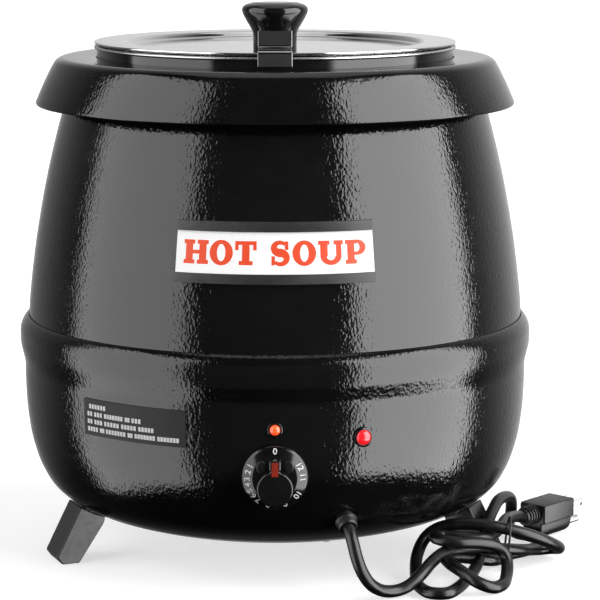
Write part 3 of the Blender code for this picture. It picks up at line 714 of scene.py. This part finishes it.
# ---- dial ------------------------------------------------
# A moulded gloss-black knob with a sloped scale ring, a round grip with a tongue to the pointer, and a dull
# finger pad on each side of it. The numerals are printed in white, and the pointer is an orange-red inlay.

DIAL_Z, DIAL_BACK, DIAL_FRONT = 83.7, 169.9, 186.0
FORWARD = Matrix.Translation((0, AXIS_Y * 0.001, DIAL_Z * 0.001)) @ Matrix.Rotation(math.pi / 2, 4, "X")


def cylinder_part(name, outline, height_low, height_high, bevel, steps=3):
    """A closed (x, y) outline in mm between two heights, its upper edge rounded over `bevel` mm."""
    outline = np.asarray(outline, float)
    count = len(outline)
    ahead = np.roll(outline, -1, 0) - np.roll(outline, 1, 0)
    inward = np.column_stack([-ahead[:, 1], ahead[:, 0]]) / np.linalg.norm(ahead, axis=1)[:, None]
    t = np.linspace(0, math.pi / 2, steps + 1)
    shrink = np.concatenate([[0.0], bevel * (1 - np.cos(t))])
    height = np.concatenate([[height_low], height_high - bevel + bevel * np.sin(t)])
    rings = outline[None] + inward[None] * shrink[:, None, None]
    points = np.concatenate([rings, np.broadcast_to(height[:, None, None], (len(height), count, 1))], axis=2)
    faces = grid_faces(len(height), count, columns_closed=True).tolist()
    faces += [list(range(count)), list(range((len(height) - 1) * count, len(height) * count))[::-1]]
    return solid(name, points.reshape(-1, 3), faces, 50)


skirt_outline = rounded([
    (0, 173.2), (16.5, 173.2), (16.5, DIAL_BACK), (20.4, DIAL_BACK), (20.6, 170.3), (20.6, 171.3),
    (19.6, 172.6), (13.4, 175.6), (0, 176.2),
], [0, 0.3, 0.3, 0.2, 0.3, 0.6, 0.8, 1.5, 0], 4)
skirt = turned("dial_skirt", skirt_outline, 120, centre=(0, 0))
t = np.radians(np.linspace(-250, 70, 97))
grip_round = np.column_stack([11.2 * np.cos(t), -4.5 + 11.2 * np.sin(t)])
tongue = rounded([(3.6, 7.2), (3.6, 13.6), (-3.6, 13.6), (-3.6, 7.2)], [1.2, 1.4, 1.4, 1.2], 4)
grip = cylinder_part("dial_grip", np.vstack([grip_round, tongue]), 174.8, DIAL_FRONT - 0.35, 1.1, 4)
t = np.linspace(0, math.tau, 40, endpoint=False)
for name, sign in (("dial_pocket_left", -1), ("dial_pocket_right", 1)):
    hollow = np.column_stack([sign * 8.4 + 3.1 * np.cos(t), 7.6 + 4.0 * np.sin(t)])
    pocket = cylinder_part(name, hollow, 174.6, 176.6, 0.5)
    pocket.data.transform(FORWARD)
    fitted(pocket, moulded, "dial", "black_gloss")
for piece in (skirt, grip):
    piece.data.transform(FORWARD)
fitted(skirt, gloss, "dial", "black_gloss", "dial")
fitted(grip, gloss, "dial", "black_gloss")

white_print = finish_of("white_print", (0.78, 0.78, 0.78), (0.66, 0.66, 0.65), 0.4, 0.5, 200)
FIGURE_HIGH, SCALE_R, SCALE_OUT, SCALE_SLOPE = 5.5, 17.1, 174.02, math.radians(-25.8)
numerals = []
for figure, bearing in (
    ("0", 0), ("1", 62.5), ("2", 76), ("3", 91), ("4", 103), ("5", 116), ("6", 129), ("7", 143), ("8", 166),
    ("9", 201), ("10", 234), ("11", 273), ("12", 297),
):
    text = bpy.data.curves.new("figure", "FONT")
    text.body = figure
    text.size = FIGURE_HIGH * 0.001
    text.align_x, text.align_y = "CENTER", "CENTER"
    text.extrude = 0.00004
    text.offset = 0.0001
    holder = bpy.data.objects.new("figure", text)
    scene.collection.objects.link(holder)
    bpy.context.view_layer.update()
    mesh = bpy.data.meshes.new_from_object(holder.evaluated_get(bpy.context.evaluated_depsgraph_get()))
    bpy.data.objects.remove(holder)
    # tipped on to the slope of the ring, moved out to it, then round to its bearing
    moved = Matrix.Translation((0, SCALE_R * 0.001, SCALE_OUT * 0.001))
    tipped = moved @ Matrix.Rotation(SCALE_SLOPE, 4, "X")
    mesh.transform(FORWARD @ Matrix.Rotation(math.radians(bearing), 4, "Z") @ tipped)
    numerals.append(mesh)
bm = bmesh.new()
for mesh in numerals:
    bm.from_mesh(mesh)
    bpy.data.meshes.remove(mesh)
scale_mesh = bpy.data.meshes.new("dial_numerals")
bm.to_mesh(scale_mesh)
bm.free()
dial_numerals = bpy.data.objects.new("dial_numerals", scale_mesh)
scene.collection.objects.link(dial_numerals)
fitted(dial_numerals, white_print, "dial", "white_card")
inlay = finish_of("pointer_inlay", (0.36, 0.028, 0.012), (0.26, 0.022, 0.01), 0.25, 0.4, 90)
refinish(inlay, "dial_pointer")

# ---- pilot lamps -----------------------------------------
# Neon pilots pressed into holes in the bowl: a small orange one over the dial and a larger domed red one
# to its right, each in a thin black ring. Both are lit.


def lens_of(name, colour, faded, glow, strength):
    """Clear tinted acrylic over a lit neon: a faint fine bump, and a glow of its own."""
    return finish_of(
        name, colour, faded, 0.08, 0.18, 200, depth=0.03, Emission_Color=(*glow, 1),
        Emission_Strength=strength, Coat_Weight=0.6, Coat_Roughness=0.05,
    )


orange_lens = lens_of("orange_lens", (0.85, 0.09, 0.02), (0.95, 0.16, 0.04), (1.0, 0.075, 0.012), 0.75)
red_lens = lens_of("red_lens", (0.8, 0.012, 0.02), (0.9, 0.03, 0.04), (0.9, 0.008, 0.018), 0.62)
FACE = 169.9
for lamp, lens_r, lamp_angle, lamp_z, lens in (
    ("orange", 3.3, 0.0, 113.6, orange_lens), ("red", 4.8, math.radians(18.9), 107.0, red_lens),
):
    t = np.linspace(0, math.pi / 2, 14)
    dome = np.column_stack([lens_r * np.cos(t), FACE + 0.4 + 2.7 * np.sin(t)])
    outline = np.vstack([[(0, 152), (lens_r, 152)], dome])
    glass = turned(f"pilot_{lamp}_dome", outline, 48, centre=(0, 0), sharp=50)
    inner, outer, lip = lens_r + 0.15, lens_r + 0.9, lens_r + 1.5
    ring = turned(f"pilot_{lamp}_ring", rounded([
        (inner, 150), (outer, 150), (outer, FACE + 0.1), (lip, FACE + 0.1), (lip, FACE + 0.9),
        (inner, FACE + 1.3),
    ], [0.1, 0.1, 0.1, 0.2, 0.4, 0.2]), 48, centre=(0, 0))
    stand = (
        Matrix.Translation((0, AXIS_Y * 0.001, lamp_z * 0.001))
        @ Matrix.Rotation(lamp_angle, 4, "Z") @ Matrix.Rotation(math.pi / 2, 4, "X")
    )
    for piece in (glass, ring):
        piece.data.transform(stand)
    fitted(glass, lens, "kettle", f"{lamp}_lens", f"pilot_{lamp}_lens")
    fitted(ring, gloss, "kettle", "black_gloss", f"pilot_{lamp}_body")

# ---- label and decal -------------------------------------
# An extruded dark-grey holder is bonded round the body, open at both ends, and a printed card slides in it.
# The decal is a dark self-adhesive strip on the bowl with four lines of white print, here plain blocks.


def body_radius(z, out=0.0):
    """The body's radius in the label's band, in mm, moved out by this much."""
    return 162.1 - (np.asarray(z, float) - 204) * 0.171 + out


LABEL_HALF, LOW, HIGH, RAIL, LIP = math.radians(22.3), 203.6, 241.6, 4.4, 6.2
rail_steps = [(0.4, 0), (2.8, 0), (2.8, LIP), (2.0, LIP), (2.0, RAIL), (1.0, RAIL)]
rails = [(body_radius(LOW + up, out_by), LOW + up) for out_by, up in rail_steps]
rails += [(body_radius(HIGH - up, out_by), HIGH - up) for out_by, up in reversed(rail_steps)]
extruded = finish_of("extruded_rail", (0.03, 0.03, 0.032), (0.045, 0.045, 0.047), 0.32, 0.45, 30, depth=0.02)
holder = turned("label_rails", rounded(rails, 0.25, 3), 96, start=-LABEL_HALF, sweep=2 * LABEL_HALF)
fitted(holder, extruded, "kettle", "grey_print", "label_holder")


def paper_fibres(tree):
    """Coated card: short pressed fibres, as a bump height."""
    place = tree.nodes.new("ShaderNodeTexCoord").outputs["Object"]
    return noise(tree, place, 1500, 4, 0.7)


# The card glows a little of its own, a painted glow that brightens its white.
card_with_painted_glow = finish_of(
    "card_with_painted_glow", (0.8, 0.8, 0.8), (0.74, 0.74, 0.735), 0.45, 0.55, 25, height=paper_fibres, depth=0.02,
    Emission_Color=(1, 1, 1, 1), Emission_Strength=0.3,
)
card_low, card_high = LOW + RAIL + 0.3, HIGH - RAIL - 0.3
card_outline = [
    (body_radius(card_low, 1.3), card_low), (body_radius(card_low, 1.7), card_low),
    (body_radius(card_high, 1.7), card_high), (body_radius(card_high, 1.3), card_high),
]
card = turned("soup_card", card_outline, 96, start=-LABEL_HALF, sweep=2 * LABEL_HALF)
fitted(card, card_with_painted_glow, "label", "white_card", "label_card")

# The words, in plain slab capitals 1 unit high: each stroke is a strip between two lines, (x, y) pairs.
STEM, SERIF, THIN, FOOT = 0.33, 0.17, 0.24, 0.09


def block(x0, x1, y0, y1):
    """A rectangle as a strip of two lines."""
    return [((x0, y0), (x0, y1)), ((x1, y0), (x1, y1))]


def stem(x, low=0.0, high=1.0):
    """An upright with a slab at each end; x is its left side."""
    return [
        block(x, x + STEM, low + SERIF, high - SERIF), block(x - FOOT, x + STEM + FOOT, low, low + SERIF),
        block(x - FOOT, x + STEM + FOOT, high - SERIF, high),
    ]


def hoop(cx, cy, rx, ry, thick_x, thick_y, start, end, steps=40):
    """An elliptical band between two angles in degrees, thicker at its sides than at top and bottom."""
    t = np.radians(np.linspace(start, end, steps + 1))
    outside = np.column_stack([cx + rx * np.cos(t), cy + ry * np.sin(t)])
    inside = np.column_stack([cx + (rx - thick_x) * np.cos(t), cy + (ry - thick_y) * np.sin(t)])
    return list(zip(outside.tolist(), inside.tolist()))


def letter_h():
    return stem(FOOT) + stem(FOOT + 0.62) + [block(FOOT + STEM, FOOT + 0.62, 0.42, 0.58)], 1.09


def letter_o():
    return [hoop(0.52, 0.5, 0.52, 0.53, 0.33, 0.17, 0, 360, 64)], 1.04


def letter_t():
    return [
        block(0.31, 0.31 + STEM, SERIF, 0.84), block(0.17, 0.78, 0, SERIF), block(0, 0.95, 0.84, 1),
        block(0, 0.15, 0.62, 0.84), block(0.8, 0.95, 0.62, 0.84),
    ], 0.95


def letter_s():
    """Two elliptical arcs joined at the middle, thickest on the spine, with a slab at each end."""
    up, down = np.radians(np.linspace(35, 270, 30)), np.radians(np.linspace(90, -145, 30)[1:])
    centre = np.concatenate([
        np.column_stack([0.43 + 0.27 * np.cos(up), 0.735 + 0.215 * np.sin(up)]),
        np.column_stack([0.43 + 0.28 * np.cos(down), 0.285 + 0.235 * np.sin(down)]),
    ])
    ahead = np.gradient(centre, axis=0)
    square = np.column_stack([-ahead[:, 1], ahead[:, 0]]) / np.linalg.norm(ahead, axis=1)[:, None]
    along_it, half_there = [0, 0.15, 0.35, 0.5, 0.65, 0.85, 1], [0.07, 0.09, 0.15, 0.18, 0.15, 0.09, 0.07]
    half = np.interp(np.linspace(0, 1, len(centre)), along_it, half_there)[:, None]
    band = list(zip((centre + square * half).tolist(), (centre - square * half).tolist()))
    return [band, block(0.64, 0.79, 0.64, 1.0), block(0.05, 0.2, 0.0, 0.38)], 0.87


def letter_u():
    return [
        block(FOOT, FOOT + STEM, 0.34, 1 - SERIF), block(0, STEM + 2 * FOOT, 1 - SERIF, 1),
        block(0.8, 0.8 + THIN, 0.34, 1 - SERIF), block(0.7, 1.12, 1 - SERIF, 1),
        hoop(0.565, 0.36, 0.475, 0.38, 0.28, 0.2, 180, 360, 36),
    ], 1.12


def letter_p():
    return stem(FOOT) + [
        block(FOOT + STEM, 0.56, 0.85, 1.0), block(FOOT + STEM, 0.56, 0.36, 0.5),
        hoop(0.56, 0.68, 0.39, 0.32, 0.29, 0.15, -90, 90, 30),
    ], 0.96


LETTER_HIGH, LETTER_GAP, WORD_GAP, WORDS_WIDE = 14.6, 0.1, 0.5, 113.0
BEND_R, INK_OUT, INK_STEP = 158.0, 1.76, 1.5
strokes, pen = [], 0.0
for letter in (letter_h, letter_o, letter_t, None, letter_s, letter_o, letter_u, letter_p):
    if letter is None:
        pen += WORD_GAP
        continue
    made, wide = letter()
    strokes += [np.array(stroke, float) + (pen, 0) for stroke in made]
    pen += wide + LETTER_GAP
squeeze = WORDS_WIDE / ((pen - LETTER_GAP) * LETTER_HIGH)


def on_card(flat, out):
    """Flat (x, y) in mm, x from the middle and y from the card's lower edge, bent round on to the card."""
    z = card_low + flat[:, 1]
    r = body_radius(z, out)
    turn_by = flat[:, 0] / BEND_R
    return np.column_stack([r * np.sin(turn_by), AXIS_Y - r * np.cos(turn_by), z])


def printed(name, points, faces):
    """Flat print from lists of points in mm and of faces, as one mesh that faces the front."""
    mesh = bpy.data.meshes.new(name)
    mesh.from_pydata((np.concatenate(points) * 0.001).tolist(), [], np.concatenate(faces).tolist())
    bm = bmesh.new()
    bm.from_mesh(mesh)
    bm.normal_update()
    bmesh.ops.reverse_faces(bm, faces=[f for f in bm.faces if f.normal.y > 0])
    bm.to_mesh(mesh)
    bm.free()
    made = bpy.data.objects.new(name, mesh)
    scene.collection.objects.link(made)
    return made


points, faces, base = [], [], 0
for stroke in strokes:
    fine = []
    for a_line, b_line in zip(stroke, stroke[1:]):
        cuts = max(1, int(np.abs(b_line - a_line).max() * LETTER_HIGH / INK_STEP))
        t = np.arange(cuts)[:, None, None] / cuts
        fine.append(a_line[None] * (1 - t) + b_line[None] * t)
    grid = np.concatenate([*fine, stroke[-1:]])
    flat = grid.reshape(-1, 2) * (LETTER_HIGH * squeeze, LETTER_HIGH)
    flat += (-WORDS_WIDE / 2, (card_high - card_low - LETTER_HIGH) / 2)
    points.append(on_card(flat, INK_OUT))
    faces.append(grid_faces(len(grid), 2) + base)
    base += len(flat)
words = printed("card_words", points, faces)
# The ink glows a little in its own colour: a painted glow.
ink = finish_of(
    "painted_glow_ink", (0.76, 0.075, 0.022), (0.7, 0.06, 0.018), 0.42, 0.5, 60,
    Emission_Color=(0.8, 0.07, 0.02, 1), Emission_Strength=0.25,
)
fitted(words, ink, "label", "white_card")

DECAL_START, DECAL_SWEEP = math.radians(-45.6), math.radians(26.5)
DECAL_FACE = [(169.65, 100), (170.2, 112), (170.3, 123.6)]
decal_film = finish_of(
    "decal_film", (0.018, 0.018, 0.019), (0.023, 0.023, 0.024), 0.5, 0.6, 40, depth=0.01,
    Specular_IOR_Level=0.25,
)
decal = turned(
    "decal_film", [(169.25, 100), *DECAL_FACE, (169.9, 123.6), (169.8, 112)], 72,
    start=DECAL_START, sweep=DECAL_SWEEP, sharp=20,
)
fitted(decal, decal_film, "kettle", "grey_print", "decal")
# each line's height, where it begins, and the lengths of its groups of blocks
LINES = [
    (117.4, 4.9, [15.0]), (112.5, 3.2, [5.0, 7.4, 15.6, 4.0, 7.4]),
    (107.6, 3.2, [5.0, 7.4, 12.7, 11.9, 11.6]), (102.7, 3.2, [9.6, 4.0, 16.4, 4.0, 15.4, 15.3]),
]
PRINT_HIGH, BLOCK_STEP, BLOCK_WIDE, WORD_STEP, DECAL_R, PRINT_OUT = 2.9, 2.35, 1.85, 1.3, 170.0, 0.06
FACE_R, FACE_Z = zip(*DECAL_FACE)
points, faces = [], []
for height, begin, lengths in LINES:
    at = begin
    for long in lengths:
        blocks = max(1, round(long / BLOCK_STEP))
        left = at + np.arange(blocks) * long / blocks
        turn_by = DECAL_START + np.stack([left, left + BLOCK_WIDE], axis=1) / DECAL_R
        z = np.array([height, height + PRINT_HIGH])
        r = np.interp(z, FACE_Z, FACE_R) + PRINT_OUT
        x = r[None, None] * np.sin(turn_by)[:, :, None]
        y = AXIS_Y - r[None, None] * np.cos(turn_by)[:, :, None]
        grid = np.stack([x, y, np.broadcast_to(z, x.shape)], axis=-1)
        base = sum(len(p) for p in points)
        points.append(grid.reshape(-1, 3))
        faces.append(np.arange(blocks)[:, None] * 4 + np.array([0, 1, 3, 2])[None] + base)
        at += long + WORD_STEP
fitted(printed("decal_print", points, faces), white_print, "kettle", "white_card")

# ---- pot and lid -----------------------------------------
# The pot is deep-drawn stainless with a flange that sits on the well's rim. The lid is a dished disc,
# mirror-polished, hinged at the back, with a steel strip bent over its front edge before the black knob.

pot_outline = rounded([
    (0, 96.6), (100, 96.6), (110.2, 100.9), (114.6, 111), (114.6, 338.8), (115.4, 339.6), (119, 339.6),
    (120, 340.1), (121, 338.9), (120.4, 337.8), (119.4, 338.2), (115.8, 338.2), (115.8, 110.7),
    (111.1, 100), (100.3, 95.4), (0, 95.4),
], [0, 6, 6, 8, 0.4, 0.4, 0.5, 0.6, 0.6, 0.5, 0.4, 0.5, 8, 6, 6, 0], 4)
pot = turned("soup_pot", pot_outline)
fitted(pot, satin, "pot", "satin_steel", "pot")


def buffed(tree):
    """Mirror polish: hair-fine swirls left by the buffing wheel, and a slow wave in the sheet."""
    place = tree.nodes.new("ShaderNodeTexCoord").outputs["Object"]
    swirls = noise(tree, place, 1900, 2, 0.5, 2.5)
    waves = noise(tree, place, 22, 1)
    return wired_math(tree, "ADD", times(tree, swirls, 0.02), waves)


polished = finish_of(
    "polished_steel", (0.76, 0.76, 0.765), (0.7, 0.7, 0.705), 0.05, 0.1, 18, 1.0, buffed, 0.05
)
lid_outline = rounded([
    (0, 337.5), (95.8, 337.5), (99.6, 341.3), (115.4, 341.3), (116, 340.4), (118, 340.4), (118.6, 341.3),
    (120.5, 341.3), (120.8, 341.8), (120.5, 342.6), (100.5, 342.6), (98.6, 341.2), (97, 339.2),
    (95.6, 338.8), (0, 338.8),
], [0, 1.5, 1.5, 0.3, 0.3, 0.3, 0.3, 0.2, 0.3, 0.4, 1.6, 1.2, 1.0, 1.2, 0], 5)
lid = turned("lid_disc", lid_outline, 256, sharp=40)
fitted(lid, polished, "lid", "polished_steel", "lid")

strap_line = rounded([
    (121.8, 334), (121.8, 341.6), (121.2, 342.7), (120, 342.9), (99, 342.9), (97, 343.6), (95.9, 345),
    (95.5, 347), (95.5, 355),
], [0, 1, 0.6, 0.6, 2, 1, 1, 1, 0], 4, closed=False)
STRAP_HALF, STRAP_EDGE = 10.8, 0.3
strap = bar("lid_strip", walled(strap_line, -SHEET), STRAP_HALF, 0.0, STRAP_EDGE)
# The strip is the lid's polished steel painted darker: painted shade for the dark surroundings it reflects.
painted_shade_polish = finish_of(
    "strip_steel_painted_shade", (0.42, 0.42, 0.43), (0.36, 0.36, 0.37), 0.05, 0.1, 18, 1.0, buffed, 0.05
)
fitted(strap, painted_shade_polish, "lid", "polished_steel", "lid_strap")
refinish(polished, "hinge_leaf")

KNOB_Y = AXIS_Y - 80
knob_outline = rounded([
    (0, 339.1), (13.9, 339.1), (13.9, 351.5), (14.6, 354.2), (16.3, 357.2), (18.6, 361), (20.6, 365),
    (21.2, 367.3), (20.6, 369.2), (18.6, 370.7), (15.4, 371.7), (14.6, 371.4), (14.6, 370), (0, 370),
], [0, 0.5, 2, 2, 3, 3, 1.6, 1.4, 1.2, 1.4, 0.8, 0.3, 0.3, 0], 5)
knob = turned("lid_knob", knob_outline, 128, centre=(0, KNOB_Y), sharp=50)
cap = turned("lid_knob_cap", rounded(
    [(0, 370.3), (14.2, 370.3), (14.2, 371.3), (12.6, 372), (0, 372.2)], [0, 0.3, 0.4, 1.5, 0], 5
), 96, centre=(0, KNOB_Y))
fitted(knob, gloss, "lid", "black_gloss", "knob")
fitted(cap, gloss, "lid", "black_gloss", "knob_cap")
